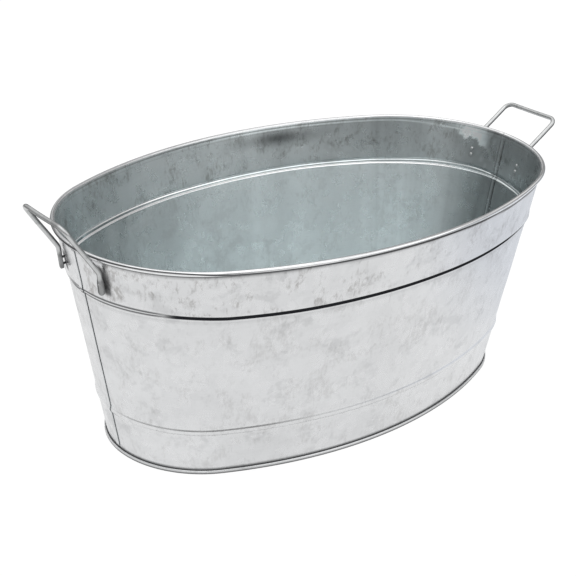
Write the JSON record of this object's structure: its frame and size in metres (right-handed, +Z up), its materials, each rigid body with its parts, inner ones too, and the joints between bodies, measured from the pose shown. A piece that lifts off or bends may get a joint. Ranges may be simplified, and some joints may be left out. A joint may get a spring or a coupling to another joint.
{
  "type": "galvanized oval tub",
  "caption": "Open oval sheet metal tub with flared walls, a ledge and bead round the sides, a rolled rim and a bent wire bail handle at each end.",
  "frame": {"origin": "centre of the oval base, on the plane that the tub stands on", "axes": "+X along the length towards the right handle, +Y across the width towards the rear wall, +Z up"},
  "size_m": [0.669, 0.368, 0.2809],
  "materials": {
    "zinc_sheet": "hot dip galvanized, satin, with crystal patches",
    "plain_wire": "drawn steel wire",
    "zinc_wire": "galvanized wire, satin",
    "rivet_metal": "zinc plated steel, dull"
  },
  "bodies": {
    "root": {"front_wall": "zinc_sheet", "rear_wall": "zinc_sheet", "floor_pan": "zinc_sheet", "rim_wire": "plain_wire", "left_handle": "zinc_wire", "right_handle": "zinc_wire", "left_rivets": "rivet_metal", "right_rivets": "rivet_metal"}
  },
  "joints": []
}
